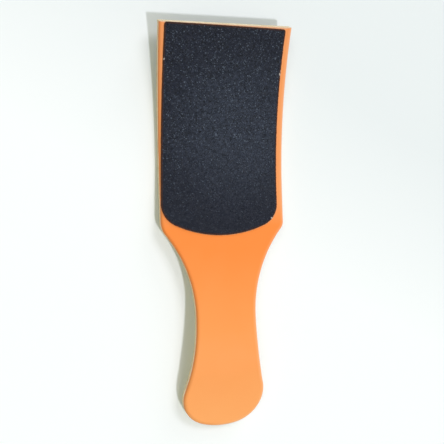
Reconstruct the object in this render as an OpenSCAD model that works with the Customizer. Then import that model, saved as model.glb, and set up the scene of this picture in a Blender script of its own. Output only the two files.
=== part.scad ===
// A two-sided foot file: a paddle of bent plywood, lacquered orange on top and clear
// beneath, with a sheet of coarse grit on top of its head and one of fine grit under it.
// It lies as on a table: the head end curls up and the handle arches over.
// X runs across the file, +Y points to the head end and +Z is up.
// Places along the file are counted from its head end, in plan.

/* [Board outline] */
// Length of the whole file, in plan
file_l = 252; // [240:1:270]
// Thickness of the lacquered board
board_t = 6; // [5.6:0.1:7.5]
// Width of the head at its sawn end
head_end_w = 82.6; // [80:0.2:88]
// Width of the head at the corners of the neck
neck_w = 79.3; // [76:0.2:84]
// How far the long sides of the head hollow inwards
side_hollow = 0.6; // [0:0.1:1]
// Distance from the head end to the corners of the neck
head_l = 123.6; // [116:0.2:130]
// Radius of those corners
neck_corner_r = 10; // [5:0.5:16]
// Width of the handle at its waist
waist_w = 38.5; // [34:0.1:44]
// Distance from the head end to the waist
waist_at = 177.7; // [172:0.1:184]
// Radius of the hollow sides between the waist and the flared end
flare_r = 177; // [150:1:200]
// Radius of the two corners of the flared end
heel_corner_r = 22; // [16:0.5:24]
// Radius of the rounded end between those corners
heel_end_r = 40; // [34:0.5:46]

/* [Bends] */
// Radius of the head's bend, on the underside
head_bend_r = 259; // [240:1:300]
// Angle by which the head end curls up
head_curl = 17; // [14:0.5:19]
// Slope of the straight rise between the two bends
rise_angle = 5.7; // [5:0.1:6.5]
// Radius of the handle's arch, on the underside
arch_bend_r = 89; // [80:1:110]
// Slope of the straight end of the handle
tail_angle = 13.5; // [12.5:0.1:15]

/* [Plies] */
// Thickness of each of the two outer plies
face_ply_t = 1.1; // [0.9:0.05:1.2]
// Thickness of each of the two cross-grained plies
cross_ply_t = 1.1; // [0.9:0.05:1.2]

/* [Lacquer] */
// Thickness of the lacquer film
coat_t = 0.15; // [0.1:0.01:0.2]
// How far the upper coat reaches down the edge
top_wrap = 2.6; // [2:0.1:3.2]
// How far the lower coat reaches up the edge
bottom_wrap = 1.2; // [0.8:0.1:1.6]

/* [Abrasive sheets] */
// Bare margin between the board's neck corners and the sides of a sheet
side_margin = 2.4; // [2.3:0.05:5]
// Bare margin between the sawn end of the board and a sheet
end_margin = 0.6; // [0.6:0.1:4]
// How far a sheet reaches past the corners of the neck
past_neck = 4.3; // [3:0.1:7]
// Depth of a sheet's rounded lower end
arch_depth = 19; // [17:0.1:22]
// Radius at the two sides of that rounded end
arch_corner_r = 14; // [10:0.5:16]
// Radius of a sheet's two corners at the head end
tip_corner_r = 1.6; // [0.4:0.1:2]
// Turn of the coarse sheet, as it was glued by hand
coarse_skew = 0.8; // [0:0.1:0.8]
// Shift of the coarse sheet to the left
coarse_shift = 1.5; // [0:0.1:1.5]
// Turn of the fine sheet, as it was glued by hand
fine_skew = -0.5; // [-1:0.1:0]
// Shift of the fine sheet to the left
fine_shift = -0.4; // [-1:0.1:0]
// Thickness of the film of contact adhesive under a sheet
adhesive_t = 0.12; // [0.08:0.01:0.2]
// How far the adhesive stays back from the edge of its sheet
adhesive_inset = 0.5; // [0.3:0.1:1.5]
// Thickness of the cloth that backs the coarse grit
coarse_backing_t = 0.4; // [0.3:0.05:0.6]
// Thickness of the coarse grit in its resin
coarse_grit_t = 0.5; // [0.4:0.05:0.8]
// Thickness of the paper that backs the fine grit
fine_backing_t = 0.3; // [0.2:0.05:0.5]
// Thickness of the fine grit in its resin
fine_grit_t = 0.3; // [0.2:0.05:0.5]

/* [Hidden] */
$fn = 360;

// Lengths by which cutting shapes overrun what they cut
overrun = 8;
// Flat facets that the board's long curves are drawn with: the hollow sides of the
// head, its bend before and after the lowest line, and the arch of the handle
side_steps = 8;
curl_steps = 18;
rise_steps = 6;
arch_steps = 16;

// Heights above the board's underside, square to it
ply_low = coat_t;
lower_cross_low = ply_low + face_ply_t;
centre_low = lower_cross_low + cross_ply_t;
ply_high = board_t - coat_t;
upper_cross_high = ply_high - face_ply_t;
centre_high = upper_cross_high - cross_ply_t;
top_wrap_low = board_t - top_wrap;
coarse_backing_low = board_t + adhesive_t;
coarse_grit_low = coarse_backing_low + coarse_backing_t;
coarse_grit_high = coarse_grit_low + coarse_grit_t;
fine_backing_high = -adhesive_t;
fine_grit_high = fine_backing_high - fine_backing_t;
fine_grit_low = fine_grit_high - fine_grit_t;

// The side view, as places [along, height] on the board's underside.
// The head's bend touches the table through the fine sheet at its lowest line.
head_centre = [head_bend_r * sin(head_curl), head_bend_r - fine_grit_low];
rise_start = head_centre + head_bend_r * [sin(rise_angle), -cos(rise_angle)];
// The arch starts where it brings the tip of the handle down to the table
arch_run = arch_bend_r * (sin(rise_angle) + sin(tail_angle));
arch_start_along = (tan(tail_angle) * (file_l - arch_run)
    + tan(rise_angle) * rise_start.x - rise_start.y
    + arch_bend_r * (cos(rise_angle) - cos(tail_angle)))
    / (tan(rise_angle) + tan(tail_angle));
rise_l = (arch_start_along - rise_start.x) / cos(rise_angle);
arch_start = rise_start + rise_l * [cos(rise_angle), sin(rise_angle)];
arch_centre = arch_start + arch_bend_r * [sin(rise_angle), -cos(rise_angle)];
tail_start = arch_centre + arch_bend_r * [sin(tail_angle), cos(tail_angle)];
tail_l = (file_l - tail_start.x) / cos(tail_angle) + overrun;

// The side view at one height above the underside, from the head end to past the tip
function line_points(height) = [
    for (step = [-curl_steps : rise_steps])
        let (angle = step < 0 ? head_curl * step / curl_steps : rise_angle * step / rise_steps)
        head_centre + (head_bend_r - height) * [sin(angle), -cos(angle)],
    for (step = [0 : arch_steps])
        let (angle = (rise_angle + tail_angle) * step / arch_steps - rise_angle)
        arch_centre + (arch_bend_r + height) * [sin(angle), cos(angle)],
    tail_start + height * [sin(tail_angle), cos(tail_angle)]
        + tail_l * [cos(tail_angle), -sin(tail_angle)]
];

// A list of places from its last to its first
function reversed(points) = [for (i = [len(points) - 1 : -1 : 0]) points[i]];

// The plan, as places [across, along] on the right half of the board
waist_depth = (neck_w - waist_w) / 2;
waist_run = waist_at - head_l;
shoulder_r = (waist_run * waist_run + waist_depth * waist_depth) / (2 * waist_depth);
shoulder_centre = [waist_w / 2 + shoulder_r, waist_at];
// The last facet of the head's side, and the circle that rounds the corner after it
side_end = [side_at(1), head_l];
side_way = side_end - [side_at(1 - 1 / side_steps), head_l * (1 - 1 / side_steps)];
side_in = [-side_way.y, side_way.x] / norm(side_way);
neck_corner_centre = rolled_back(
    side_end + neck_corner_r * side_in, side_way / norm(side_way),
    shoulder_centre, shoulder_r + neck_corner_r);
flare_centre = [waist_w / 2 + flare_r, waist_at];
heel_end_centre = [0, file_l - heel_end_r];
heel_corner_centre = meeting_point(
    flare_centre, flare_r + heel_corner_r,
    heel_end_centre, heel_end_r - heel_corner_r);

// The plan of a sheet, from the same values as the board's
sheet_half_w = neck_w / 2 - side_margin;
sheet_foot = head_l + past_neck;
sheet_arch_centre = [sheet_half_w - arch_corner_r, sheet_foot - arch_depth];
sheet_arch_r = arch_radius(sheet_arch_centre.x);

// The crown of the two places that lie at the given distances from p and q
function meeting_point(p, p_r, q, q_r) =
    let (gap = norm(q - p), way = (q - p) / gap)
    let (along = (p_r * p_r - q_r * q_r + gap * gap) / (2 * gap))
    let (off = sqrt(p_r * p_r - along * along))
    p + along * way + off * [way.y, -way.x];

// The place on the line back from p, against its way, that lies at the given distance from q
function rolled_back(p, way, q, q_r) =
    let (ahead = (q - p) * way, aside = norm(q - p - ahead * way))
    p + (ahead - sqrt(q_r * q_r - aside * aside)) * way;

// Radius of the arc between a sheet's side arcs, which it meets smoothly
function arch_radius(reach) =
    (reach * reach + arch_depth * arch_depth - arch_corner_r * arch_corner_r)
    / (2 * (arch_depth - arch_corner_r));

// Half width of the head at a share of the way from its end to the neck
function side_at(share) =
    head_end_w / 2 + share * (neck_w - head_end_w) / 2
    - 4 * side_hollow * share * (1 - share);

// The plan of the board on the right, drawn in by an inset
function right_points(inset) = [
    [side_at(0) - inset, -overrun],
    for (step = [0 : side_steps - 1])
        [side_at(step / side_steps) - inset, head_l * step / side_steps],
    neck_corner_centre - (neck_corner_r - inset) * side_in,
    neck_corner_centre,
    shoulder_start(inset),
    flare_end(inset),
    heel_end(inset)
];

// Where the neck's round corner meets the hollow shoulder
function shoulder_start(inset) =
    let (way = neck_corner_centre - shoulder_centre)
    shoulder_centre + (shoulder_r + inset) * way / norm(way);

// Where the hollow flare meets the round corner of the handle's end
function flare_end(inset) =
    let (way = heel_corner_centre - flare_centre)
    flare_centre + (flare_r + inset) * way / norm(way);

// Where that round corner meets the rounded end
function heel_end(inset) =
    let (way = heel_corner_centre - heel_end_centre)
    heel_end_centre + (heel_end_r - inset) * way / norm(way);

// The same places on the left
function mirrored(points) = [for (place = points) [-place.x, place.y]];

// The side view of one layer of the bent stack, between two heights
module layer_side(low, high) {
    polygon(concat(line_points(low), reversed(line_points(high))));
}

// The layer as a solid, wider than the board
module layer(low, high) {
    rotate([90, 0, 90])
        linear_extrude(max(head_end_w, neck_w) + overrun, center = true)
            translate([file_l / 2, 0]) mirror([1, 0]) layer_side(low, high);
}

// A plan as an upright prism that is taller than the file
module upright() {
    translate([0, 0, -overrun])
        linear_extrude(file_l)
            translate([0, file_l / 2]) mirror([0, 1]) children();
}

// The plan of the board, drawn in by an inset
module board_plan(inset = 0) {
    difference() {
        union() {
            polygon(concat(right_points(inset), reversed(mirrored(right_points(inset)))));
            for (side = [-1, 1]) {
                translate([side * neck_corner_centre.x, neck_corner_centre.y])
                    circle(r = neck_corner_r - inset);
                translate([side * heel_corner_centre.x, heel_corner_centre.y])
                    circle(r = heel_corner_r - inset);
            }
            intersection() {
                translate(heel_end_centre) circle(r = heel_end_r - inset);
                translate([-heel_end_r, heel_end(inset).y])
                    square([2 * heel_end_r, heel_end_r]);
            }
        }
        for (side = [-1, 1]) {
            translate([side * shoulder_centre.x, shoulder_centre.y])
                circle(r = shoulder_r + inset);
            intersection() {
                translate([side * flare_centre.x, flare_centre.y])
                    circle(r = flare_r + inset);
                translate([-file_l, waist_at]) square([2 * file_l, file_l]);
            }
        }
    }
}

// The plan of a sheet before it is turned, drawn in by an inset
module straight_sheet_plan(head_gap, inset) {
    half_w = sheet_half_w - inset;
    corner_r = arch_corner_r - inset;
    end_r = sheet_arch_r - inset;
    end_centre = [0, sheet_foot - sheet_arch_r];
    way = sheet_arch_centre - end_centre;
    arc_end = end_centre + end_r * way / norm(way);
    tip_y = head_gap + inset + tip_corner_r;
    for (side = [-1, 1]) {
        translate([side * (half_w - tip_corner_r), tip_y]) circle(r = tip_corner_r);
        translate([side * sheet_arch_centre.x, sheet_arch_centre.y]) circle(r = corner_r);
    }
    translate([tip_corner_r - half_w, head_gap + inset])
        square([2 * (half_w - tip_corner_r), tip_corner_r]);
    translate([-half_w, tip_y])
        square([2 * half_w, sheet_arch_centre.y - tip_y]);
    polygon([
        [-sheet_arch_centre.x, sheet_arch_centre.y],
        [sheet_arch_centre.x, sheet_arch_centre.y],
        arc_end,
        [-arc_end.x, arc_end.y]
    ]);
    intersection() {
        translate(end_centre) circle(r = end_r);
        translate([-half_w, arc_end.y]) square([2 * half_w, arch_depth]);
    }
}

// A sheet's plan, turned about the middle of the head and shifted to the left
module sheet_plan(head_gap, skew, shift, inset = 0) {
    translate([-shift, head_l / 2])
        rotate(skew)
            translate([0, -head_l / 2]) straight_sheet_plan(head_gap, inset);
}

// One ply of the board between two heights
module ply(low, high) {
    intersection() {
        layer(low, high);
        upright() board_plan(coat_t);
    }
}

// A lacquer film on the board between two heights, hollowed for the plies inside it
module coat(low, high, plies_low, plies_high) {
    difference() {
        intersection() {
            layer(low, high);
            upright() board_plan();
        }
        ply(plies_low, plies_high);
    }
}

// One layer of an abrasive sheet on the upper face
module coarse_layer(low, high, inset = 0) {
    intersection() {
        layer(low, high);
        upright()
            sheet_plan(board_t * sin(head_curl) + end_margin, coarse_skew, coarse_shift, inset);
    }
}

// One layer of an abrasive sheet on the underside
module fine_layer(low, high, inset = 0) {
    intersection() {
        layer(low, high);
        upright() sheet_plan(end_margin, fine_skew, fine_shift, inset);
    }
}

module top_lacquer_coat() {
    color([0.99, 0.58, 0.27]) coat(top_wrap_low, board_t, top_wrap_low - overrun, ply_high);
}

module top_face_ply() {
    color([0.90, 0.79, 0.60]) ply(upper_cross_high, ply_high);
}

module upper_cross_ply() {
    color([0.80, 0.67, 0.48]) ply(centre_high, upper_cross_high);
}

module centre_ply() {
    color([0.90, 0.79, 0.60]) ply(centre_low, centre_high);
}

module lower_cross_ply() {
    color([0.80, 0.67, 0.48]) ply(lower_cross_low, centre_low);
}

module bottom_face_ply() {
    color([0.90, 0.79, 0.60]) ply(ply_low, lower_cross_low);
}

module bottom_lacquer_coat() {
    color([0.88, 0.76, 0.55]) coat(0, bottom_wrap, ply_low, bottom_wrap + overrun);
}

module coarse_sheet_adhesive() {
    color([0.72, 0.60, 0.36]) coarse_layer(board_t, coarse_backing_low, adhesive_inset);
}

module coarse_sheet_backing() {
    color([0.24, 0.17, 0.13]) coarse_layer(coarse_backing_low, coarse_grit_low);
}

module coarse_grit_coat() {
    color([0.18, 0.20, 0.24]) coarse_layer(coarse_grit_low, coarse_grit_high);
}

module fine_sheet_adhesive() {
    color([0.72, 0.60, 0.36]) fine_layer(fine_backing_high, 0, adhesive_inset);
}

module fine_sheet_backing() {
    color([0.30, 0.24, 0.20]) fine_layer(fine_grit_high, fine_backing_high);
}

module fine_grit_coat() {
    color([0.28, 0.29, 0.31]) fine_layer(fine_grit_low, fine_grit_high);
}

top_lacquer_coat();
top_face_ply();
upper_cross_ply();
centre_ply();
lower_cross_ply();
bottom_face_ply();
bottom_lacquer_coat();
coarse_sheet_adhesive();
coarse_sheet_backing();
coarse_grit_coat();
fine_sheet_adhesive();
fine_sheet_backing();
fine_grit_coat();
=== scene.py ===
"""A two-sided foot file: a bent plywood paddle, lacquered orange on top and clear beneath, with a
sheet of coarse grit on top of its head and one of fine grit under it. Each piece is made flat, as
on a bench, and is then bent along the side view of the board."""

import math
import random

import bmesh
import bpy
from bmesh.types import BMEdge, BMFace, BMVert
from bpy.props import FloatProperty, FloatVectorProperty, IntProperty, PointerProperty
from bpy.types import Operator, Panel, PropertyGroup, Scene
from mathutils import Euler, Matrix, Vector, noise


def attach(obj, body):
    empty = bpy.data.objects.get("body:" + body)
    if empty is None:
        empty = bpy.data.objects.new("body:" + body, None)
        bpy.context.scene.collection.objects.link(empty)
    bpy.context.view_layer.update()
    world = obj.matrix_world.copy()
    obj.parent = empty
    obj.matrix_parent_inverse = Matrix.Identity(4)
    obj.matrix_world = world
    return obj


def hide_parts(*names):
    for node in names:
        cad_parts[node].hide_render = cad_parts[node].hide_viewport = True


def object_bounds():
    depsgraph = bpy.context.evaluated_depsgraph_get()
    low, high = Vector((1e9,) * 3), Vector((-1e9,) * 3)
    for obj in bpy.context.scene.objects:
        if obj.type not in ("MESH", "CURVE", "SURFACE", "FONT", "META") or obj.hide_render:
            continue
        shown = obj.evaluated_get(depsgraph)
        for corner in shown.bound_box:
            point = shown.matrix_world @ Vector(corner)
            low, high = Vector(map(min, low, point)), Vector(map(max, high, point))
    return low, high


bl_info = {
    "name": "Foot file",
    "version": (1, 0, 0),
    "blender": (4, 5, 0),
    "location": "View3D > Sidebar > Foot file",
    "description": "Builds a lacquered plywood foot file round its packed frame",
    "category": "Object",
}

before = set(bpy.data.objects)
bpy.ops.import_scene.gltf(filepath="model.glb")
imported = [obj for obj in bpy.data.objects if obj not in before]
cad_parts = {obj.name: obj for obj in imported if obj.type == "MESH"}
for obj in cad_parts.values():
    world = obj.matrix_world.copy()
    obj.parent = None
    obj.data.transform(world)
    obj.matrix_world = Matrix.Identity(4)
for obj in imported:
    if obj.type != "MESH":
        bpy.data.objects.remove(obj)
CAD_LOW, CAD_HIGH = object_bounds()

MM = 0.001
# Vertices closer than this are one vertex
JOIN = 1e-6
# Upward part of a normal past which a face counts as lying flat
FLAT = 0.99
# Edges that turn by more than this stay sharp
SHARP = math.radians(38)
# The flat coordinates of each vertex before its piece was bent
FLAT_PLACE = "flat_place"
# How far a vertex has turned over the board's rounded edge, from 0 on the face to 1 on the side
ARRIS = "arris_share"
# Share of the way through its ply at which a vertex lies
THROUGH = "through_share"
# How far a vertex of the grit lies from the cut edge of its sheet
EDGE_GAP = "edge_gap"
# How much of the pale cloth shows at a vertex where the grit has chipped off
CHIP = "chip_share"
BODY = "root"


def linear(hex_colour):
    """An sRGB colour such as "#FA9248" as linear red, green and blue."""
    shades = [int(hex_colour[i : i + 2], 16) / 255 for i in (1, 3, 5)]
    return [s / 12.92 if s <= 0.04045 else ((s + 0.055) / 1.055) ** 2.4 for s in shades]


def a_length(name, description, default):
    """A setting that is a length in metres."""
    return FloatProperty(name=name, description=description, default=default, unit="LENGTH")


def an_angle(name, description, degrees):
    """A setting that is an angle, given in degrees."""
    default = math.radians(degrees)
    return FloatProperty(name=name, description=description, default=default, unit="ROTATION")


def a_colour(name, description, default):
    """A setting that is a linear colour."""
    return FloatVectorProperty(name=name, description=description, default=default, subtype="COLOR")


class BoardSettings(PropertyGroup):
    """Plan of the board, with places counted from its head end"""

    file_l: a_length("Length", "Length of the whole file in plan", -2 * CAD_LOW.y)
    board_t: a_length("Thickness", "Thickness of the lacquered board", 6 * MM)
    head_end_w: a_length("Head end width", "Width of the head at its sawn end", CAD_HIGH.x - CAD_LOW.x)
    neck_w: a_length("Neck width", "Width of the head at the corners of the neck", 79.3 * MM)
    side_hollow: a_length("Side hollow", "How far the long sides of the head hollow inwards", 0.6 * MM)
    head_l: a_length("Head length", "Distance from the head end to the corners of the neck", 123.6 * MM)
    left_neck_r: a_length(
        "Left neck radius",
        "Radius of the neck's left corner, which is sanded rounder than the other",
        14 * MM,
    )
    right_neck_r: a_length("Right neck radius", "Radius of the neck's right corner", 7 * MM)
    waist_w: a_length("Waist width", "Width of the handle at its waist", 38.5 * MM)
    waist_at: a_length("Waist place", "Distance from the head end to the waist", 177.7 * MM)
    flare_r: a_length(
        "Flare radius", "Radius of the hollow sides between the waist and the flared end", 177 * MM
    )
    left_heel_r: a_length(
        "Left heel radius",
        "Radius of the flared end's left corner, which is the squarer of the two",
        19.5 * MM,
    )
    right_heel_r: a_length("Right heel radius", "Radius of the flared end's right corner", 22 * MM)
    heel_end_r: a_length("Heel end radius", "Radius of the rounded end between those corners", 40 * MM)
    top_round_r: a_length("Upper edge radius", "Radius of the sanded edge round the upper face", 1.5 * MM)
    bottom_round_r: a_length("Lower edge radius", "Radius of the sanded edge round the underside", 0.8 * MM)
    outline_facet: a_length("Outline facet", "Longest facet of the plan's curves", 1.2 * MM)


class BendSettings(PropertyGroup):
    """Side view of the board, on its underside"""

    head_bend_r: a_length("Head bend radius", "Radius of the head's bend", 259 * MM)
    head_curl: an_angle("Head curl", "Angle by which the head end curls up", 17)
    rise_angle: an_angle("Rise angle", "Slope of the straight rise between the two bends", 5.7)
    arch_bend_r: a_length("Arch bend radius", "Radius of the handle's arch", 89 * MM)
    tail_angle: an_angle("Tail angle", "Slope of the straight end of the handle", 13.5)
    square_run: a_length(
        "Square run",
        "Length over which the sawn end turns square to the curled head and evens out",
        40 * MM,
    )
    sawn_fall: a_length(
        "Sawn fall",
        "How much shorter the board was sawn at its right corner than at its left one",
        0.6 * MM,
    )
    station_gap: a_length(
        "Station gap", "Distance between the cuts across a piece, at which it bends", 2.5 * MM
    )


class PlySettings(PropertyGroup):
    """The birch plies of the board"""

    face_ply_t: a_length("Face ply", "Thickness of each of the two outer plies", 1.1 * MM)
    cross_ply_t: a_length("Cross ply", "Thickness of each of the two cross-grained plies", 1.1 * MM)
    pale_colour: a_colour("Early wood", "Colour of the pale wood", linear("#F6E9CC"))
    dark_colour: a_colour("Late wood", "Colour of the darker streaks and pores", linear("#DFC79C"))
    glue_colour: a_colour("Glue line", "Colour of the glue between two plies", linear("#B79A6C"))


class LacquerSettings(PropertyGroup):
    """The orange film on the board's upper face and the clear one beneath"""

    coat_t: a_length("Film thickness", "Thickness of the lacquer film", 0.15 * MM)
    top_wrap: a_length("Upper wrap", "How far the upper coat reaches down the edge", 2.2 * MM)
    bottom_wrap: a_length("Lower wrap", "How far the lower coat reaches up the edge", 1.2 * MM)
    wave: a_length("Edge wave", "How far the film's edge wanders up and down the board's side", 0.25 * MM)
    head_colour: a_colour(
        "Lacquer on the head",
        "Colour of the orange lacquer beside the sheet, where dust of use dulls it",
        linear("#F69B57"),
    )
    neck_colour: a_colour(
        "Lacquer at the neck",
        "Colour of the orange lacquer at the neck, where its film is full",
        linear("#FA8B35"),
    )
    # Painted light: this lighter colour at the tip stands in for the brighter light on the handle's tail,
    # which slopes towards the key lamp
    lit_tip_colour: a_colour(
        "Lacquer at the tip",
        "Colour of the orange lacquer at the tip, where its film is thinner",
        linear("#FFAA5F"),
    )


class SheetSettings(PropertyGroup):
    """Plan and layers of the two abrasive sheets"""

    side_margin: a_length(
        "Side margin", "Bare margin between the neck corners and the sides of a sheet", 2.4 * MM
    )
    end_margin: a_length("End margin", "Bare margin between the sawn end and a sheet", 0.6 * MM)
    past_neck: a_length("Past the neck", "How far a sheet reaches past the corners of the neck", 4.3 * MM)
    arch_depth: a_length("Arch depth", "Depth of a sheet's rounded lower end", 19 * MM)
    arch_corner_r: a_length("Arch corner radius", "Radius at the two sides of that rounded end", 14 * MM)
    tip_corner_r: a_length("Tip corner radius", "Radius of a sheet's two corners at the head end", 1.6 * MM)
    tip_flare: a_length("Tip flare", "How much further out a sheet's sides stand at the head end", 0.4 * MM)
    side_hollow: a_length("Side hollow", "How far a sheet's hand-cut sides hollow inwards", 0.45 * MM)
    foot_lean: a_length(
        "Foot lean",
        "How much lower a sheet's rounded end was cut on the right than in the middle",
        0.5 * MM,
    )
    adhesive_t: a_length("Adhesive", "Thickness of the film of contact adhesive", 0.12 * MM)
    coarse_turn: an_angle("Coarse turn", "Turn of the coarse sheet, as it was glued by hand", 0.8)
    coarse_shift: a_length("Coarse shift", "Shift of the coarse sheet to the left", 1.5 * MM)
    coarse_backing_t: a_length("Cloth", "Thickness of the cloth that backs the coarse grit", 0.4 * MM)
    coarse_grit_t: a_length("Coarse grit", "Thickness of the coarse grit in its resin", 0.5 * MM)
    coarse_colour: a_colour(
        "Coarse grit colour", "Colour of the coarse grit and its resin", linear("#181C28")
    )
    fine_turn: an_angle("Fine turn", "Turn of the fine sheet, as it was glued by hand", -0.5)
    fine_shift: a_length("Fine shift", "Shift of the fine sheet to the left", -0.4 * MM)
    fine_backing_t: a_length("Paper", "Thickness of the paper that backs the fine grit", 0.3 * MM)
    fine_grit_t: a_length("Fine grit", "Thickness of the fine grit in its resin", 0.3 * MM)
    fine_colour: a_colour("Fine grit colour", "Colour of the fine grit and its resin", linear("#2E3036"))
    grain_count: IntProperty(
        name="Grains",
        description="How many of the largest coarse grains stand proud of the rest",
        default=3600,
    )
    seed: IntProperty(name="Seed", description="Start of the random draws of the grit", default=7)


class StageSettings(PropertyGroup):
    """Camera, room and table"""

    camera_place: FloatVectorProperty(
        name="Camera place",
        description="Where the camera stands",
        default=(-141.61 * MM, 59.195 * MM, 446.895 * MM),
        subtype="TRANSLATION",
    )
    camera_turn: FloatVectorProperty(
        name="Camera turn",
        description="How the camera is turned",
        default=[math.radians(a) for a in (-6.568, -17.814, -0.157)],
        subtype="EULER",
    )
    focal_length: FloatProperty(
        name="Focal length",
        description="Focal length in millimetres on a 36 mm sensor",
        default=60.74,
        unit="CAMERA",
    )
    room_strength: FloatProperty(
        name="Room strength", description="Strength of the even light of the room", default=0.31
    )
    room_colour: a_colour("Room colour", "Colour of the even light of the room", (0.935, 1.0, 0.84))
    near_colour: a_colour(
        "Near table", "Colour of the table beside and below the handle", linear("#F9FDFE")
    )
    far_colour: a_colour("Far table", "Colour of the table beyond the head", linear("#EAF0F2"))


class FootFileSettings(PropertyGroup):
    """All settings of the foot file"""

    board: PointerProperty(type=BoardSettings)
    bends: PointerProperty(type=BendSettings)
    plies: PointerProperty(type=PlySettings)
    lacquer: PointerProperty(type=LacquerSettings)
    sheets: PointerProperty(type=SheetSettings)
    stage: PointerProperty(type=StageSettings)


class SideLine:
    """The bent board seen from the side, as heights above the table"""

    def __init__(self, settings):
        board, bends, sheets = settings.board, settings.bends, settings.sheets
        self.half_l = board.file_l / 2
        self.half_w = board.head_end_w / 2
        self.square_run = bends.square_run
        self.sawn_fall = bends.sawn_fall
        self.curl_sine = math.sin(bends.head_curl)
        self.rise, self.tail = bends.rise_angle, bends.tail_angle
        self.head_r, self.arch_r = bends.head_bend_r, bends.arch_bend_r
        # The head's lowest line stands on the table through the fine sheet
        lift = sheets.adhesive_t + sheets.fine_backing_t + sheets.fine_grit_t
        self.head_centre = Vector((self.head_r * self.curl_sine, self.head_r + lift))
        to_rise = Vector((math.sin(self.rise), -math.cos(self.rise)))
        self.rise_start = self.head_centre + self.head_r * to_rise
        # The arch starts where it brings the tip of the handle down to the table
        slope, fall = math.tan(self.rise), math.tan(self.tail)
        arch_run = self.arch_r * (math.sin(self.rise) + math.sin(self.tail))
        arch_rise = self.arch_r * (math.cos(self.rise) - math.cos(self.tail))
        along = (
            fall * (board.file_l - arch_run) + slope * self.rise_start.x - self.rise_start.y + arch_rise
        ) / (slope + fall)
        self.arch_start = Vector((along, self.rise_start.y + slope * (along - self.rise_start.x)))
        self.arch_centre = self.arch_start + self.arch_r * to_rise
        to_tail = Vector((math.sin(self.tail), math.cos(self.tail)))
        self.tail_start = self.arch_centre + self.arch_r * to_tail

    def height(self, along, up):
        """Height of a place that lies along the file and up from the board's underside."""
        rise_x = self.rise_start.x - up * math.sin(self.rise)
        if along < rise_x:
            drop = math.sqrt((self.head_r - up) ** 2 - (along - self.head_centre.x) ** 2)
            return self.head_centre.y - drop
        if along < self.arch_start.x - up * math.sin(self.rise):
            start = self.rise_start.y + up * math.cos(self.rise)
            return start + (along - rise_x) * math.tan(self.rise)
        tail_x = self.tail_start.x + up * math.sin(self.tail)
        if along < tail_x:
            lift = math.sqrt((self.arch_r + up) ** 2 - (along - self.arch_centre.x) ** 2)
            return self.arch_centre.y + lift
        start = self.tail_start.y + up * math.cos(self.tail)
        return start - (along - tail_x) * math.tan(self.tail)

    def bend(self, flat):
        """Where a place of a flat piece lies once the board is bent."""
        along = self.half_l - flat.y
        across = (flat.x / self.half_w + 1) / 2
        fall = flat.z * self.curl_sine + self.sawn_fall * across**2
        along += fall * max(0.0, 1 - along / self.square_run)
        return Vector((flat.x, self.half_l - along, self.height(along, flat.z)))


def current():
    """The foot file's settings in this scene."""
    return bpy.context.scene.foot_file


def whole(bm):
    """All the geometry of a mesh, as an operator takes it."""
    return bm.verts[:] + bm.edges[:] + bm.faces[:]


def steps(first, last, count):
    """Evenly spaced values from the first to the last."""
    return [first + (last - first) * i / count for i in range(count + 1)]


def meeting_place(p, p_r, q, q_r):
    """Where two circles meet, on the tip's side of the line between their centres."""
    way = (q - p).normalized()
    gap = (q - p).length
    along = (p_r**2 - q_r**2 + gap**2) / (2 * gap)
    off = math.sqrt(p_r**2 - along**2)
    return p + along * way + off * Vector((-way.y, way.x))


def toward(centre, place, radius):
    """The place on a circle that lies toward another place."""
    return centre + (place - centre).normalized() * radius


def side_arcs(board, neck_r, heel_r, inset):
    """The plan's right side: its first place, and each arc's centre and far end up to the tip."""
    half_l = board.file_l / 2
    end_corner = Vector((board.head_end_w / 2, half_l))
    neck = Vector((board.neck_w / 2, half_l - board.head_l))
    waist = Vector((board.waist_w / 2, half_l - board.waist_at))
    depth, run = neck.x - waist.x, neck.y - waist.y
    shoulder_r = (run**2 + depth**2) / (2 * depth)
    shoulder = waist + Vector((shoulder_r, 0))
    side = neck - end_corner
    side_r = (side.length**2 / 4 + board.side_hollow**2) / (2 * board.side_hollow)
    outward = Vector((-side.y, side.x)).normalized()
    hollow = (end_corner + neck) / 2 + outward * (side_r - board.side_hollow)
    corner = meeting_place(shoulder, shoulder_r + neck_r, hollow, side_r + neck_r)
    flare = waist + Vector((board.flare_r, 0))
    end = Vector((0, board.heel_end_r - half_l))
    heel = meeting_place(flare, board.flare_r + heel_r, end, board.heel_end_r - heel_r)
    reach = math.sqrt((side_r + inset) ** 2 - (half_l - hollow.y) ** 2)
    return Vector((hollow.x - reach, half_l)), [
        (hollow, toward(hollow, corner, side_r + inset)),
        (corner, toward(shoulder, corner, shoulder_r + inset)),
        (shoulder, waist - Vector((inset, 0))),
        (flare, toward(flare, heel, board.flare_r + inset)),
        (heel, toward(end, heel, board.heel_end_r - inset)),
        (end, Vector((0, inset - half_l))),
    ]


def draw_plan(board, inset):
    """The plan of the board as one flat face, drawn in by an inset."""
    bm = bmesh.new()
    for side, neck_r, heel_r in (
        (1, board.right_neck_r, board.right_heel_r),
        (-1, board.left_neck_r, board.left_heel_r),
    ):
        first, arcs = side_arcs(board, neck_r, heel_r, inset)
        pen = bmesh.ops.create_vert(bm, co=(side * first.x, first.y, 0))["vert"][0]
        for centre, far_end in arcs:
            centre.x *= side
            far_end.x *= side
            reach, goal = pen.co.xy - centre, far_end - centre
            turn = math.atan2(reach.cross(goal), reach.dot(goal))
            count = max(2, math.ceil(abs(turn) * reach.length / board.outline_facet))
            arc = bmesh.ops.spin(
                bm, geom=[pen], cent=(*centre, 0), axis=(0, 0, 1), angle=turn, steps=count
            )
            pen = arc["geom_last"][0]
    # The two sides meet at the tip
    bmesh.ops.remove_doubles(bm, verts=bm.verts[:], dist=10 * JOIN)
    ends = [v for v in bm.verts if len(v.link_edges) == 1]
    bmesh.ops.contextual_create(bm, geom=ends)
    bmesh.ops.edgeloop_fill(bm, edges=bm.edges[:])
    return bm


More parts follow.
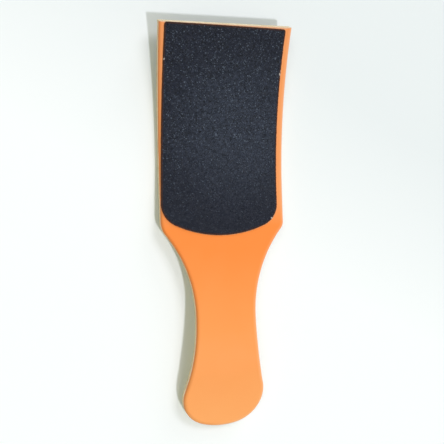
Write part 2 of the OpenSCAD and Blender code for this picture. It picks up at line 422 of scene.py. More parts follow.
def round_rim(bm, height, end_y, radius):
    """Rounds over the blank's edge at one height, as with sandpaper, but for its sawn end."""
    level = [e for e in bm.edges if all(abs(v.co.z - height) < JOIN for v in e.verts)]
    rim = [e for e in level if not all(abs(v.co.y - end_y) < JOIN for v in e.verts)]
    bmesh.ops.bevel(
        bm,
        geom=rim,
        offset=radius,
        offset_type="OFFSET",
        segments=5,
        profile=0.5,
        affect="EDGES",
        material=-1,
    )


def keep_flats_flat(bm, ring):
    """Draws a ring just inside each wide face, so that only the ring takes up the edge's shading."""
    for upward in (-1, 1):
        wide = max((f for f in bm.faces if f.normal.z * upward > FLAT), key=BMFace.calc_area)
        bmesh.ops.inset_region(bm, faces=[wide], thickness=ring, use_even_offset=True)


def make_blank(board, inset):
    """The flat board, drawn in all round by an inset, with its edges rounded over."""
    bm = draw_plan(board, inset)
    low, high = inset, board.board_t - inset
    bmesh.ops.translate(bm, vec=(0, 0, low), verts=bm.verts[:])
    raised = bmesh.ops.extrude_face_region(bm, geom=bm.faces[:])["geom"]
    top = [g for g in raised if isinstance(g, BMVert)]
    bmesh.ops.translate(bm, vec=(0, 0, high - low), verts=top)
    bmesh.ops.recalc_face_normals(bm, faces=bm.faces[:])
    end_y = board.file_l / 2
    round_rim(bm, high, end_y, board.top_round_r - inset)
    round_rim(bm, low, end_y, board.bottom_round_r - inset)
    keep_flats_flat(bm, board.bottom_round_r)
    return bm


def cut_level(bm, height, upward, close):
    """Cuts a flat piece at one height and throws away what is past it; returns the cut edge."""
    cut = bmesh.ops.bisect_plane(
        bm,
        geom=whole(bm),
        dist=JOIN,
        plane_co=(0, 0, height),
        plane_no=(0, 0, upward),
        clear_outer=True,
    )["geom_cut"]
    edges = [g for g in cut if isinstance(g, BMEdge)]
    if close and edges:
        bmesh.ops.edgeloop_fill(bm, edges=edges)
    return edges


def cut_stations(bm, geom, board):
    """Cuts geometry across every few millimetres, so that it can bend."""
    half_l, gap = board.file_l / 2, current().bends.station_gap
    for y in steps(-half_l, half_l, round(board.file_l / gap)):
        made = bmesh.ops.bisect_plane(
            bm, geom=geom, dist=JOIN, plane_co=(0, y, 0), plane_no=(0, 1, 0)
        )
        geom = [g for g in dict.fromkeys([*geom, *made["geom"]]) if g.is_valid]


def note_through(bm, low, high):
    """Notes how far through its ply each vertex lies."""
    layer = bm.verts.layers.float.new(THROUGH)
    for v in bm.verts:
        v[layer] = (v.co.z - low) / (high - low)


def note_arris(bm):
    """Notes how far over the rounded edge each vertex lies: 0 on the wide face, 0.2 on the flat
    ring round it, and 1 on the wall."""
    layer = bm.verts.layers.float.new(ARRIS)
    bm.normal_update()
    wide = max(bm.faces, key=BMFace.calc_area)
    for v in bm.verts:
        v[layer] = 0.0 if v in wide.verts[:] else 1 - 0.8 * abs(v.normal.z)


def add_object(name, data):
    """A new object in the scene."""
    made = bpy.data.objects.new(name, data)
    bpy.context.scene.collection.objects.link(made)
    return made


def add_solid(bm, name, material):
    """A new object from a mesh, all of one material."""
    mesh = bpy.data.meshes.new(name)
    bm.to_mesh(mesh)
    bm.free()
    mesh.materials.append(material)
    return add_object(name, mesh)


def finish_piece(bm, name, node_name, material, smooth=True):
    """Bends a flat piece, makes it an object on the body and puts it in place of its node."""
    line = SideLine(current())
    layer = bm.verts.layers.float_vector.new(FLAT_PLACE)
    for v in bm.verts:
        v[layer] = v.co.copy()
        v.co = line.bend(v.co)
    piece = add_solid(bm, name, material)
    if smooth:
        piece.data.shade_smooth()
        piece.data.set_sharp_from_angle(angle=SHARP)
    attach(piece, BODY)
    if node_name:
        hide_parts(node_name)


def feed(tree, fed, inputs):
    """Fills a node's inputs, each with a value, a socket, or a node's first output in use."""
    for name, value in inputs.items():
        if isinstance(name, int):
            socket = fed.inputs[name]
        else:
            socket = next(s for s in fed.inputs if s.enabled and s.name == name)
        if isinstance(value, bpy.types.Node):
            value = next(s for s in value.outputs if s.enabled)
        if isinstance(value, bpy.types.NodeSocket):
            tree.links.new(value, socket)
        elif socket.type == "RGBA":
            socket.default_value = (*value, 1)
        else:
            socket.default_value = value


def node(tree, kind, inputs=None, **settings):
    """Adds a shader node with its settings and fills its inputs."""
    made = tree.nodes.new("ShaderNode" + kind)
    for name, value in settings.items():
        setattr(made, name, value)
    feed(tree, made, inputs or {})
    return made


def new_material(name):
    """An empty material, its node tree and its shader."""
    material = bpy.data.materials.new(name)
    material.use_nodes = True
    tree = material.node_tree
    return material, tree, tree.nodes["Principled BSDF"]


def orange_lacquer(settings):
    """Satin nitrocellulose lacquer, sprayed over sanded birch: an even, warm colour with a soft sheen, a
    fine orange-peel texture, and the wood's grain showing faintly through the film. Painted light makes it
    lighter towards the tip, and painted shade and highlight darken its left arris and pale its right one."""
    lacquer = settings.lacquer
    material, tree, shader = new_material("satin_orange_lacquer")
    place = node(tree, "Attribute", attribute_name=FLAT_PLACE).outputs["Vector"]
    x, y, _ = node(tree, "SeparateXYZ", {"Vector": place}).outputs
    # Painted light: the lacquer is painted lighter from the neck to the tip, standing in for the brighter
    # light on the handle's tail, unevenly in clouds of 30 mm
    clouds = node(tree, "TexNoise", {"Vector": place, "Scale": 1 / (30 * MM)})
    cloudy = node(tree, "Math", {0: clouds, 1: 20 * MM, 2: y}, operation="MULTIPLY_ADD")
    painted_tip_light = node(tree, "MapRange", {"Value": cloudy, "From Min": 0, "From Max": -110 * MM})
    on_head = node(tree, "MapRange", {"Value": y, "From Min": 2 * MM, "From Max": 16 * MM})
    # Painted shade and highlight: the rounded edge is painted darker on the left, which faces away from the
    # key lamp, and paler on the right, which catches its light
    toward_lit_side = node(tree, "MapRange", {"Value": x, "From Min": -8 * MM, "From Max": 8 * MM})
    arris_light_and_shade = {"Factor": toward_lit_side, "A": linear("#C86C34"), "B": linear("#FFD0B0")}
    shaded_and_lit_arris_colour = node(tree, "Mix", arris_light_and_shade, data_type="RGBA")
    arris = node(tree, "Attribute", attribute_name=ARRIS).outputs["Fac"]
    turned = node(tree, "MapRange", {"Value": arris, "From Max": 0.7, "To Max": 0.5})
    # Along the sawn end the film is worn off down to the pale wood, but for its two corners
    end_y = settings.board.file_l / 2
    off_centre = node(tree, "Math", {0: x}, operation="ABSOLUTE")
    corners = {"Value": off_centre, "From Min": 37 * MM, "From Max": 39 * MM}
    depth = node(
        tree, "MapRange", {**corners, "To Min": end_y - 1.5 * MM, "To Max": end_y - 0.6 * MM}
    )
    strip = {"Value": y, "From Min": depth, "From Max": end_y - 0.2 * MM, "To Max": 0.75}
    worn = node(tree, "MapRange", strip)
    # Each colour lies over those before it by its own share
    colour = lacquer.neck_colour
    for share, over in (
        (painted_tip_light, lacquer.lit_tip_colour),
        (on_head, lacquer.head_colour),
        (turned, shaded_and_lit_arris_colour),
        (worn, linear("#E8BE9E")),
    ):
        colour = node(tree, "Mix", {"Factor": share, "A": colour, "B": over}, data_type="RGBA")
    # The sheen varies over patches of 9 mm
    patches = node(tree, "TexNoise", {"Vector": place, "Scale": 1 / (9 * MM)})
    sheen = node(tree, "MapRange", {"Value": patches, "To Min": 0.52, "To Max": 0.66})
    # Birch vessels are 0.5 mm apart across the grain and 25 mm long under the film
    apart, vessel = 1 / (0.5 * MM), 1 / (25 * MM)
    stretched = node(tree, "Mapping", {"Vector": place, "Scale": (apart, vessel, apart)})
    grain = node(tree, "TexNoise", {"Vector": stretched, "Scale": 1})
    relief = node(tree, "Bump", {"Height": grain, "Strength": 0.25, "Distance": 0.01 * MM})
    # Orange peel 1.4 mm across
    peel = node(tree, "TexNoise", {"Vector": place, "Scale": 1 / (1.4 * MM)})
    skin = {"Height": peel, "Normal": relief, "Strength": 0.3, "Distance": 0.012 * MM}
    bump = node(tree, "Bump", skin)
    looks = {"Base Color": colour, "Roughness": sheen, "Specular IOR Level": 0.35, "Normal": bump}
    feed(tree, shader, looks)
    return material


def birch_veneer(settings, name, along_file, lacquered=False):
    """Rotary-cut birch veneer, sanded: pale cream with fine darker streaks along its fibres, pores
    where they are cut across, and a dark glue line at each side. Clear satin lacquer wets it, so
    that it shows a little darker and warmer."""
    plies = settings.plies
    material, tree, shader = new_material(name)
    place = node(tree, "Attribute", attribute_name=FLAT_PLACE).outputs["Vector"]
    # Fibres 0.25 mm thick, in streaks 12 mm long
    thick, streak = 1 / (0.25 * MM), 1 / (12 * MM)
    scale = (thick, streak, thick) if along_file else (streak, thick, thick)
    stretched = node(tree, "Mapping", {"Vector": place, "Scale": scale})
    fibres = node(tree, "TexNoise", {"Vector": stretched, "Scale": 1, "Detail": 4})
    # Growth bands 4 mm wide
    bands = node(tree, "TexNoise", {"Vector": place, "Scale": 1 / (4 * MM)})
    shade = node(tree, "Math", {0: fibres, 1: bands}, operation="MULTIPLY")
    streaks = node(tree, "MapRange", {"Value": shade, "From Min": 0.18, "From Max": 0.4})
    grain = {"Factor": streaks, "A": plies.pale_colour, "B": plies.dark_colour}
    wood = node(tree, "Mix", grain, data_type="RGBA")
    # A glue line takes the outer 6% of the ply on either side
    through = node(tree, "Attribute", attribute_name=THROUGH).outputs["Fac"]
    off_middle = node(tree, "Math", {0: through, 1: 0.5}, operation="SUBTRACT")
    apart = node(tree, "Math", {0: off_middle}, operation="ABSOLUTE")
    glue = node(tree, "MapRange", {"Value": apart, "From Min": 0.41, "From Max": 0.47})
    lines = {"Factor": glue, "A": wood, "B": plies.glue_colour}
    glued = node(tree, "Mix", lines, data_type="RGBA")
    wetted = {"Factor": 1 if lacquered else 0, "A": glued, "B": (0.92, 0.83, 0.56)}
    colour = node(tree, "Mix", wetted, data_type="RGBA", blend_type="MULTIPLY")
    bump = node(tree, "Bump", {"Height": fibres, "Strength": 0.6, "Distance": 0.05 * MM})
    feed(tree, shader, {"Base Color": colour, "Roughness": 0.72, "Normal": bump})
    feed(tree, shader, {"Coat Weight": 0.7 if lacquered else 0, "Coat Roughness": 0.35})
    return material


def carbide_grit(name, colour, grain_mm):
    """Silicon carbide grit in phenolic resin: a bluish black, matt from a distance, with glints painted on
    single grains, a paler painted reflection in the middle of the head, a brown resin rim at the cut edge
    and chips that show the cloth."""
    material, tree, shader = new_material(name)
    place = node(tree, "Attribute", attribute_name=FLAT_PLACE).outputs["Vector"]
    y = node(tree, "SeparateXYZ", {"Vector": place}).outputs["Y"]
    grains = node(tree, "TexVoronoi", {"Vector": place, "Scale": 1 / (grain_mm * MM)})
    red, green, blue = node(tree, "SeparateColor", {"Color": grains.outputs["Color"]}).outputs
    # The coat lies in clouds of 14 mm
    clouds = node(tree, "TexNoise", {"Vector": place, "Scale": 1 / (14 * MM)})
    coat = {"Factor": clouds, "A": [0.75 * c for c in colour], "B": [1.15 * c for c in colour]}
    resin = node(tree, "Mix", coat, data_type="RGBA")
    # Painted reflection: the middle of the head is painted paler, to the right of its centre line, where
    # the curved sheet reflects a broad light most
    middle = node(tree, "VectorMath", {0: place, 1: (11 * MM, 64 * MM, 0)}, operation="DISTANCE")
    sheen_falloff = {"Value": middle, "From Min": 62 * MM, "From Max": 12 * MM, "To Max": 0.32}
    painted_sheen = node(tree, "MapRange", sheen_falloff, interpolation_type="SMOOTHSTEP")
    sheen_laid_over = {"Factor": painted_sheen, "A": resin, "B": linear("#424A58")}
    sheened_resin = node(tree, "Mix", sheen_laid_over, data_type="RGBA")
    # Each grain has its own shade, most of all near the head's end
    swing = node(tree, "MapRange", {"Value": blue, "To Min": -1, "To Max": 1})
    # The resin drew the grains together in clumps of 1.6 mm
    clumps = node(tree, "TexNoise", {"Vector": place, "Scale": 1 / (1.6 * MM)})
    pull = {"Value": clumps, "From Min": 0.3, "From Max": 0.7, "To Min": -0.6, "To Max": 0.6}
    swings = node(tree, "Math", {0: swing, 1: node(tree, "MapRange", pull)})
    spread = {"Value": y, "From Min": 5 * MM, "From Max": 60 * MM, "To Min": 0.1, "To Max": 0.6}
    swung = {0: swings, 1: node(tree, "MapRange", spread), 2: 1}
    shade = node(tree, "Math", swung, operation="MULTIPLY_ADD")
    shaded = node(tree, "VectorMath", {0: sheened_resin, "Scale": shade}, operation="SCALE")
    # Painted glints: one grain in twelve is painted with a bright facet, fainter towards the neck, where it
    # is worn
    glint_fade = {"Value": y, "From Min": 0, "From Max": 70 * MM, "To Min": 0.2, "To Max": 1.1}
    glint_cells = {"Value": red, "From Min": 0.92, "To Max": node(tree, "MapRange", glint_fade)}
    painted_glint = node(tree, "MapRange", glint_cells)
    # Bare resin shows for about 0.8 mm inside the cut edge, more in some places than in others
    gap = node(tree, "Attribute", attribute_name=EDGE_GAP).outputs["Fac"]
    ragged = node(tree, "TexNoise", {"Vector": place, "Scale": 1 / (1.2 * MM)})
    wander = node(tree, "Math", {0: ragged, 1: 0.8 * MM, 2: gap}, operation="MULTIPLY_ADD")
    rim = node(tree, "MapRange", {"Value": wander, "From Min": 1.5 * MM, "From Max": 1 * MM})
    chip = node(tree, "Attribute", attribute_name=CHIP).outputs["Fac"]
    shown = shaded
    for share, over in ((painted_glint, "#5A6472"), (rim, "#3A2018"), (chip, "#C4BCB4")):
        laid = {"Factor": share, "A": shown, "B": linear(over)}
        shown = node(tree, "Mix", laid, data_type="RGBA")
    gloss = node(tree, "MapRange", {"Value": green, "To Min": 0.35, "To Max": 0.75})
    hollows = {"Height": grains, "Strength": 0.7, "Distance": 0.3 * grain_mm * MM}
    bump = node(tree, "Bump", hollows)
    looks = {"Base Color": shown, "Roughness": gloss, "Specular IOR Level": 0.2, "Normal": bump}
    feed(tree, shader, looks)
    return material


def proud_carbide():
    """Whole silicon carbide crystals: splintered, dark blue-grey and glassy, each its own shade."""
    material, tree, shader = new_material("silicon_carbide_crystals")
    island = node(tree, "NewGeometry").outputs["Random Per Island"]
    shade = node(tree, "MapRange", {"Value": island, "From Min": 0.55})
    shades = {"Factor": shade, "A": linear("#20262F"), "B": linear("#4C5666")}
    colour = node(tree, "Mix", shades, data_type="RGBA")
    feed(tree, shader, {"Base Color": colour, "Roughness": 0.4, "Specular IOR Level": 0.25})
    return material


def backing(name, low_hex, high_hex, thread_mm):
    """Resin-filled cotton cloth or kraft paper at a cut edge: dark brown, dull, and streaked by
    its threads or fibres."""
    material, tree, shader = new_material(name)
    place = node(tree, "Attribute", attribute_name=FLAT_PLACE).outputs["Vector"]
    threads = node(tree, "TexNoise", {"Vector": place, "Scale": 1 / (thread_mm * MM)})
    shades = {"Factor": threads, "A": linear(low_hex), "B": linear(high_hex)}
    colour = node(tree, "Mix", shades, data_type="RGBA")
    weave = node(tree, "Bump", {"Height": threads, "Strength": 0.6, "Distance": 0.05 * MM})
    feed(tree, shader, {"Base Color": colour, "Roughness": 0.85, "Normal": weave})
    return material


def contact_adhesive():
    """Dried contact adhesive: a glossy amber bead where it was squeezed out under the sheet."""
    material, tree, shader = new_material("amber_contact_adhesive")
    place = node(tree, "Attribute", attribute_name=FLAT_PLACE).outputs["Vector"]
    # Clouds of 3 mm, where the bead is thicker
    clouds = node(tree, "TexNoise", {"Vector": place, "Scale": 1 / (3 * MM)})
    shades = {"Factor": clouds, "A": linear("#E8A468"), "B": linear("#F0B888")}
    colour = node(tree, "Mix", shades, data_type="RGBA")
    feed(tree, shader, {"Base Color": colour, "Roughness": 0.25})
    return material


def make_coat(settings, height, upward):
    """One lacquer coat: the skin of the board past a height, thickened inwards."""
    board, lacquer = settings.board, settings.lacquer
    bm = make_blank(board, 0)
    edge = cut_level(bm, height, -upward, close=False)
    end_y = board.file_l / 2
    sawn = [f for f in bm.faces if all(abs(v.co.y - end_y) < JOIN for v in f.verts)]
    bmesh.ops.delete(bm, geom=sawn, context="FACES")
    for v in {v for e in edge if e.is_valid for v in e.verts}:
        v.co.z += lacquer.wave * noise.noise(v.co / (9 * MM))
    note_arris(bm)
    # A lacquered face has no glue lines, so it is noted as the middle of its ply
    note_through(bm, -board.board_t, board.board_t)
    bmesh.ops.solidify(bm, geom=bm.faces[:], thickness=lacquer.coat_t)
    cut_stations(bm, whole(bm), board)
    return bm


class FOOTFILE_OT_lacquer(Operator):
    """Lays orange lacquer on the upper face and clear lacquer beneath, each round its edge"""

    bl_idname = "foot_file.lacquer"
    bl_label = "Lacquer"

    def execute(self, context):
        settings = current()
        board, lacquer = settings.board, settings.lacquer
        orange = orange_lacquer(settings)
        top = make_coat(settings, board.board_t - lacquer.top_wrap, 1)
        finish_piece(top, "top_lacquer", "top_lacquer_coat", orange)
        clear = birch_veneer(settings, "clear_lacquer_on_birch", along_file=True, lacquered=True)
        bottom = make_coat(settings, lacquer.bottom_wrap, -1)
        finish_piece(bottom, "bottom_lacquer", "bottom_lacquer_coat", clear)
        return {"FINISHED"}


class FOOTFILE_OT_plies(Operator):
    """Splits the bare board into its five birch plies"""

    bl_idname = "foot_file.plies"
    bl_label = "Plies"

    def execute(self, context):
        settings = current()
        board, plies, coat_t = settings.board, settings.plies, settings.lacquer.coat_t
        along = birch_veneer(settings, "birch_veneer_along", along_file=True)
        across = birch_veneer(settings, "birch_veneer_across", along_file=False)
        blank = make_blank(board, coat_t)
        face_low, face_high = coat_t + plies.face_ply_t, board.board_t - coat_t - plies.face_ply_t
        stack = [
            ("bottom_face", coat_t, face_low, along),
            ("lower_cross", face_low, face_low + plies.cross_ply_t, across),
            ("centre", face_low + plies.cross_ply_t, face_high - plies.cross_ply_t, along),
            ("upper_cross", face_high - plies.cross_ply_t, face_high, across),
            ("top_face", face_high, board.board_t - coat_t, along),
        ]
        for ply, low, high, material in stack:
            bm = blank.copy()
            cut_level(bm, low, -1, close=True)
            cut_level(bm, high, 1, close=True)
            note_through(bm, low, high)
            cut_stations(bm, whole(bm), board)
            finish_piece(bm, f"{ply}_veneer", f"{ply}_ply", material)
        blank.free()
        return {"FINISHED"}


class SheetPlan:
    """The plan of a sheet: straight at its head end, a little hollow at its sides and rounded at
    its foot"""

    def __init__(self, settings, turn, shift):
        board, sheets = settings.board, settings.sheets
        self.board, self.sheets = board, sheets
        self.half_w = board.neck_w / 2 - sheets.side_margin
        self.top_y = board.file_l / 2 - sheets.end_margin
        self.foot_y = board.file_l / 2 - board.head_l - sheets.past_neck
        self.tip_r, self.corner_r = sheets.tip_corner_r, sheets.arch_corner_r
        depth, reach = sheets.arch_depth, self.half_w - self.corner_r
        self.corner = Vector((reach, self.foot_y + depth))
        self.end_r = (reach**2 + depth**2 - self.corner_r**2) / (2 * (depth - self.corner_r))
        self.end = Vector((0, self.foot_y + self.end_r))
        way = self.corner - self.end
        # The corner arc gives way to the end arc at this angle below the horizontal
        self.swing = math.atan2(-way.y, way.x)
        middle = Vector((0, board.file_l / 2 - board.head_l / 2, 0))
        self.glued = (
            Matrix.Translation(middle - Vector((shift, 0, 0)))
            @ Matrix.Rotation(-turn, 4, "Z")
            @ Matrix.Translation(-middle)
        )

    def round_cuts(self):
        """The planes that round the sheet, each as a place on it and its way outward."""
        tip = Vector((self.half_w - self.tip_r, self.top_y - self.tip_r))
        # More of them where an arc is longer
        right = [(tip, self.tip_r, a) for a in steps(math.radians(75), math.radians(15), 4)]
        right += [(self.corner, self.corner_r, -a) for a in steps(0, self.swing, 12)]
        right += [(self.end, self.end_r, -a) for a in steps(self.swing, math.pi / 2, 18)]
        cuts = []
        for centre, radius, angle in right:
            for side in (1, -1):
                way = Vector((math.cos(angle), math.sin(angle)))
                place = centre + radius * way
                cuts.append((Vector((side * place.x, place.y, 0)), Vector((side * way.x, way.y, 0))))
        return cuts

    def edge_gap(self, place):
        """How far a flat place lies within the straight-sided sheet."""
        gap = min(self.half_w - abs(place.x), self.top_y - place.y)
        if place.y > self.corner.y:
            return gap
        across = Vector((abs(place.x), place.y))
        from_corner = across - self.corner
        if from_corner.x * math.sin(self.swing) > -from_corner.y * math.cos(self.swing):
            return self.corner_r - from_corner.length
        return self.end_r - (across - self.end).length

    def lay(self, bm):
        """Gives a straight-sided layer its hand-cut sides and foot, and glues it on."""
        sheets = self.sheets
        for v in bm.verts:
            down = self.top_y - v.co.y
            share = min(1.0, down / (self.top_y - self.corner.y))
            # The hollow is deepest half way down the sides
            swell = sheets.tip_flare * (1 - share) - 4 * sheets.side_hollow * share * (1 - share)
            lean = sheets.foot_lean * down / (self.top_y - self.foot_y)
            v.co.y -= lean * v.co.x / self.half_w
            v.co.x *= 1 + swell / self.half_w
        bmesh.ops.transform(bm, matrix=self.glued, verts=bm.verts[:])

    def press_down(self, bm):
        """Presses a layer on the upper face down over the board's sanded edge."""
        board = self.board
        narrowing = (board.head_end_w - board.neck_w) / 2
        for v in bm.verts:
            share = (board.file_l / 2 - v.co.y) / board.head_l
            side = board.head_end_w / 2 - share * narrowing
            side -= 4 * board.side_hollow * share * (1 - share)
            over = abs(v.co.x) - side + board.top_round_r
            if over > 0:
                over = min(over, board.top_round_r)
                v.co.z += math.sqrt(board.top_round_r**2 - over**2) - board.top_round_r

    def cut_out(self, cell):
        """The sheet's upper face, a flat grid of about one cell size cut to its plan."""
        bm = bmesh.new()
        wide, long = 2 * self.half_w, self.top_y - self.foot_y
        bmesh.ops.create_grid(
            bm,
            x_segments=round(wide / cell),
            y_segments=round(long / cell),
            size=1,
            matrix=Matrix.Translation((0, self.foot_y + long / 2, 0))
            @ Matrix.Diagonal((wide / 2, long / 2, 1, 1)),
        )
        for place, way in self.round_cuts():
            reach = 2 * cell
            near = [v for v in bm.verts if (v.co - place).dot(way) > -reach]
            # Each is taken once, in an order that each run repeats
            faces = dict.fromkeys(f for v in near for f in v.link_faces)
            edges = dict.fromkeys(e for f in faces for e in f.edges)
            verts = dict.fromkeys(v for f in faces for v in f.verts)
            bmesh.ops.bisect_plane(
                bm,
                geom=[*verts, *edges, *faces],
                dist=JOIN,
                plane_co=place,
                plane_no=way,
                clear_outer=True,
            )
        bmesh.ops.remove_doubles(bm, verts=bm.verts[:], dist=10 * JOIN)
        return bm


# Chips in the coarse grit: place across and along the file, half length and half width in
# millimetres, and the way each one points in degrees
CHIPS = [
    (-37.6, 21.6, 0.6, 0.4, 70),
    (36.3, 27.0, 0.7, 0.4, 115),
    (35.8, 29.1, 1.2, 0.55, 115),
    (31.6, 118.8, 1.1, 0.55, 150),
]


def close_under(bm, plan, height):
    """Drops a skirt from the sheet's edge to a height and closes it with a cut-up face."""
    rim = [e for e in bm.edges if e.is_boundary]
    made = bmesh.ops.extrude_edge_only(bm, edges=rim)["geom"]
    for v in made:
        if isinstance(v, BMVert):
            v.co.z = height
    floor_edges = [e for e in bm.edges if e.is_boundary]
    floor = bmesh.ops.edgeloop_fill(bm, edges=floor_edges)["faces"][0]
    geom = [floor, *floor.edges, *floor.verts]
    cut_stations(bm, geom, plan.board)
    bmesh.ops.recalc_face_normals(bm, faces=bm.faces[:])


def make_layer(plan, low, high, cell, fray, seed):
    """A plain layer of a sheet between two heights, with a slightly uneven cut edge."""
    chance = random.Random(seed)
    bm = plan.cut_out(cell)
    for v in bm.verts:
        if v.is_boundary:
            v.co.x += fray * chance.uniform(-1, 1)
            v.co.y += fray * chance.uniform(-1, 1)
    bmesh.ops.translate(bm, vec=(0, 0, high), verts=bm.verts[:])
    close_under(bm, plan, low)
    plan.lay(bm)
    return bm


def make_grit(plan, low, high, cell, seed):
    """The grit of a sheet: a dense grid with each vertex at the height of its grain."""
    chance = random.Random(seed)
    bm = plan.cut_out(cell)
    gap = bm.verts.layers.float.new(EDGE_GAP)
    for v in bm.verts:
        v[gap] = plan.edge_gap(v.co)
        share = chance.random() ** 0.8
        v.co.z = low + (high - low) * (0.25 + 0.75 * share)
        # The cut edge is ragged by a third of a cell, and its grains have lost their upper half
        if v.is_boundary:
            v.co.x += 0.35 * cell * chance.uniform(-1, 1)
            v.co.y += 0.35 * cell * chance.uniform(-1, 1)
            v.co.z = low + (high - low) * 0.5 * share
    close_under(bm, plan, low)
    plan.lay(bm)
    return bm


def chip_grit(bm, half_l):
    """Notes where splinters of grit have come off and the pale cloth shows."""
    layer = bm.verts.layers.float.new(CHIP)
    for across, along, length, width, turn in CHIPS:
        centre = Vector((across * MM, half_l - along * MM))
        way = Vector((math.cos(math.radians(turn)), math.sin(math.radians(turn))))
        for v in bm.verts:
            off = v.co.xy - centre
            # An almond: its two ends lie at a distance of 1
            reach = (off.dot(way) / (length * MM)) ** 2 + (off.cross(way) / (width * MM)) ** 2
            v[layer] = max(v[layer], min(1.0, 2 * (1 - reach)))


class FOOTFILE_OT_coarse_sheet(Operator):
    """Makes the coarse sheet on top of the head: adhesive, cloth and grit"""

    bl_idname = "foot_file.coarse_sheet"
    bl_label = "Coarse sheet"

    def execute(self, context):
        settings = current()
        sheets = settings.sheets
        plan = SheetPlan(settings, sheets.coarse_turn, sheets.coarse_shift)
        top = settings.board.board_t
        cloth_low = top + sheets.adhesive_t
        grit_low = cloth_low + sheets.coarse_backing_t
        grit_high = grit_low + sheets.coarse_grit_t
        film = make_layer(plan, top, cloth_low, cell=1 * MM, fray=0.1 * MM, seed=sheets.seed)
        # The sheet was slid up and to the left a little, so its adhesive shows on the other sides
        bmesh.ops.translate(film, vec=(0.25 * MM, -0.3 * MM, 0), verts=film.verts[:])
        plan.press_down(film)
        glue = contact_adhesive()
        finish_piece(film, "coarse_adhesive", "coarse_sheet_adhesive", glue)
        cloth = make_layer(plan, cloth_low, grit_low, cell=1 * MM, fray=0.06 * MM, seed=sheets.seed + 1)
        plan.press_down(cloth)
        cloth_finish = backing("resin_filled_cloth", "#1C120E", "#3E2A20", thread_mm=0.4)
        finish_piece(cloth, "coarse_cloth", "coarse_sheet_backing", cloth_finish)
        grit = make_grit(plan, grit_low, grit_high, cell=0.36 * MM, seed=sheets.seed + 2)
        plan.press_down(grit)
        chip_grit(grit, settings.board.file_l / 2)
        carbide = carbide_grit("coarse_silicon_carbide", sheets.coarse_colour, grain_mm=0.55)
        finish_piece(grit, "coarse_grit", "coarse_grit_coat", carbide, smooth=False)
        return {"FINISHED"}


class FOOTFILE_OT_crystals(Operator):
    """Scatters the largest crystals over the coarse sheet, sunk into its resin"""

    bl_idname = "foot_file.crystals"
    bl_label = "Crystals"

    def execute(self, context):
        settings = current()
        sheets = settings.sheets
        plan = SheetPlan(settings, sheets.coarse_turn, sheets.coarse_shift)
        grit_low = settings.board.board_t + sheets.adhesive_t + sheets.coarse_backing_t
        chance = random.Random(sheets.seed + 3)
        shard = bmesh.new()
        bmesh.ops.create_icosphere(shard, subdivisions=1, radius=0.5)
        heap = bmesh.new()
        template = bpy.data.meshes.new("shard")
        placed = 0
        while placed < sheets.grain_count:
            x = chance.uniform(-plan.half_w, plan.half_w)
            y = chance.uniform(plan.foot_y, plan.top_y)
            flat = Vector((x, y, grit_low + sheets.coarse_grit_t * chance.uniform(0.5, 0.75)))
            size = [chance.uniform(0.3, 0.62) * MM for _ in range(3)]
            turn = Euler([chance.uniform(0, math.tau) for _ in range(3)]).to_matrix().to_4x4()
            # Use has rubbed nine in ten of them away at the neck, and fewer up to 60 mm from it
            kept = 0.1 + 0.9 * min(1.0, max(0.0, y / (60 * MM)))
            # None is left near the cut edge
            if plan.edge_gap(flat) < 0.8 * MM or chance.random() > kept:
                continue
            shard.to_mesh(template)
            template.transform(Matrix.Translation(flat) @ turn @ Matrix.Diagonal((*size, 1)))
            heap.from_mesh(template)
            placed += 1
        bpy.data.meshes.remove(template)
        shard.free()
        plan.lay(heap)
        plan.press_down(heap)
        finish_piece(heap, "coarse_crystals", None, proud_carbide(), smooth=False)
        return {"FINISHED"}


class FOOTFILE_OT_fine_sheet(Operator):
    """Makes the fine sheet under the head: adhesive, paper and grit"""

    bl_idname = "foot_file.fine_sheet"
    bl_label = "Fine sheet"

    def execute(self, context):
        settings = current()
        sheets = settings.sheets
        plan = SheetPlan(settings, sheets.fine_turn, sheets.fine_shift)
        paper_high = -sheets.adhesive_t
        grit_high = paper_high - sheets.fine_backing_t
        grit_low = grit_high - sheets.fine_grit_t
        film = make_layer(plan, paper_high, 0, cell=2 * MM, fray=0.2 * MM, seed=sheets.seed + 4)
        glue = contact_adhesive()
        finish_piece(film, "fine_adhesive", "fine_sheet_adhesive", glue)
        seed = sheets.seed + 5
        paper = make_layer(plan, grit_high, paper_high, cell=1 * MM, fray=0.05 * MM, seed=seed)
        paper_finish = backing("kraft_backing_paper", "#3A2A1E", "#5A4432", thread_mm=0.6)
        finish_piece(paper, "fine_paper", "fine_sheet_backing", paper_finish)
        grit = make_grit(plan, grit_high, grit_low, cell=0.6 * MM, seed=sheets.seed + 6)
        carbide = carbide_grit("fine_silicon_carbide", sheets.fine_colour, grain_mm=0.35)
        finish_piece(grit, "fine_grit", "fine_grit_coat", carbide, smooth=False)
        return {"FINISHED"}


# How far the table reaches from the file, in metres
TABLE_REACH = 3
# The lamps: name, way to it from the object, how many degrees wide it looks, strength, colour
LAMPS = [
    ("key_lamp", (0.235, -0.43, 1.0), 4, 1.28, (0.945, 0.93, 1.0)),
    ("back_lamp", (0.42, 0.727, 1.0), 24, 0.88, (1.0, 0.94, 1.0)),
    ("low_back_lamp", (1.374, 2.379, 1.0), 24, 0.5, (1.0, 0.94, 1.0)),
    ("left_lamp", (-0.48, 0.43, 1.0), 24, 0.47, (0.95, 1.0, 0.85)),
]


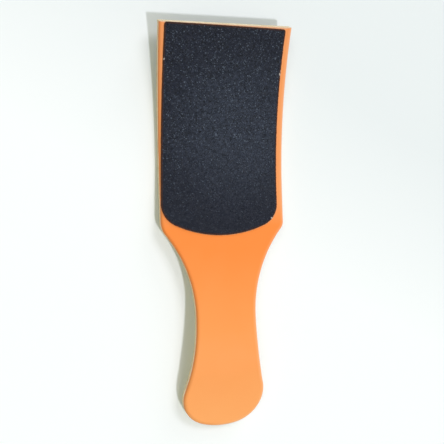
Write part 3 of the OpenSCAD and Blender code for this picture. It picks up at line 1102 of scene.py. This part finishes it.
class FOOTFILE_OT_stage(Operator):
    """Sets up the table, the light of the room, the lamps and the camera"""

    bl_idname = "foot_file.stage"
    bl_label = "Stage"

    def execute(self, context):
        stage = current().stage
        self.lay_table(stage)
        self.light_room(context.scene, stage)
        for lamp in LAMPS:
            self.hang_lamp(*lamp)
        self.place_camera(context.scene, stage)
        context.scene.view_settings.view_transform = "Standard"
        return {"FINISHED"}

    def lay_table(self, stage):
        """Lays a wide pale table at the height that the file stands on."""
        # White melamine, dull, and a little greyer where the light falls off beyond the head
        material, tree, shader = new_material("white_melamine")
        place = node(tree, "TexCoord").outputs["Object"]
        away = node(tree, "VectorMath", {0: place, 1: (0.55, 1, 0)}, operation="DOT_PRODUCT")
        dimmer = node(tree, "MapRange", {"Value": away, "From Min": 0, "From Max": 130 * MM})
        shades = {"Factor": dimmer, "A": stage.near_colour, "B": stage.far_colour}
        colour = node(tree, "Mix", shades, data_type="RGBA")
        feed(tree, shader, {"Base Color": colour, "Roughness": 0.7, "Specular IOR Level": 0.2})
        bm = bmesh.new()
        bmesh.ops.create_grid(bm, x_segments=1, y_segments=1, size=TABLE_REACH)
        add_solid(bm, "table", material)

    def light_room(self, scene, stage):
        """Fills the room with even, slightly green light, and shows it as pale as the table."""
        scene.world = bpy.data.worlds.new("room")
        scene.world.use_nodes = True
        tree = scene.world.node_tree
        tree.nodes.clear()
        even = {"Color": stage.room_colour, "Strength": stage.room_strength}
        light = node(tree, "Background", even)
        backdrop = node(tree, "Background", {"Color": stage.far_colour, "Strength": 1})
        rays = node(tree, "LightPath").outputs
        shown = rays["Is Camera Ray"]
        for ray in (rays["Is Glossy Ray"], rays["Is Transmission Ray"]):
            shown = node(tree, "Math", {0: shown, 1: ray}, operation="MAXIMUM")
        room = node(tree, "MixShader", {0: shown, 1: light, 2: backdrop})
        node(tree, "OutputWorld", {"Surface": room})

    def hang_lamp(self, name, way, angle, strength, colour):
        """Hangs a far lamp that shines from one way and looks so wide."""
        light = bpy.data.lights.new(name, "SUN")
        light.energy = strength
        light.angle = math.radians(angle)
        light.color = colour
        add_object(name, light).rotation_euler = Vector(way).to_track_quat("Z", "Y").to_euler()

    def place_camera(self, scene, stage):
        """Stands the camera above the head's left side, looking down."""
        lens = bpy.data.cameras.new("camera")
        lens.lens = stage.focal_length
        scene.camera = add_object("camera", lens)
        scene.camera.location = stage.camera_place
        scene.camera.rotation_euler = stage.camera_turn


class FOOTFILE_PT_panel(Panel):
    """Lists the steps that build the foot file"""

    bl_idname = "FOOTFILE_PT_panel"
    bl_label = "Foot file"
    bl_space_type = "VIEW_3D"
    bl_region_type = "UI"
    bl_category = "Foot file"

    def draw(self, context):
        for operator in OPERATORS:
            self.layout.operator(operator.bl_idname)


OPERATORS = [
    FOOTFILE_OT_stage,
    FOOTFILE_OT_lacquer,
    FOOTFILE_OT_plies,
    FOOTFILE_OT_coarse_sheet,
    FOOTFILE_OT_crystals,
    FOOTFILE_OT_fine_sheet,
]
CLASSES = [
    BoardSettings,
    BendSettings,
    PlySettings,
    LacquerSettings,
    SheetSettings,
    StageSettings,
    FootFileSettings,
    *OPERATORS,
    FOOTFILE_PT_panel,
]


def register():
    for cls in CLASSES:
        bpy.utils.register_class(cls)
    Scene.foot_file = PointerProperty(type=FootFileSettings)


def unregister():
    del Scene.foot_file
    for cls in reversed(CLASSES):
        bpy.utils.unregister_class(cls)


def main():
    register()
    for operator in OPERATORS:
        group, name = operator.bl_idname.split(".")
        getattr(getattr(bpy.ops, group), name)()


if __name__ == "__main__":
    main()
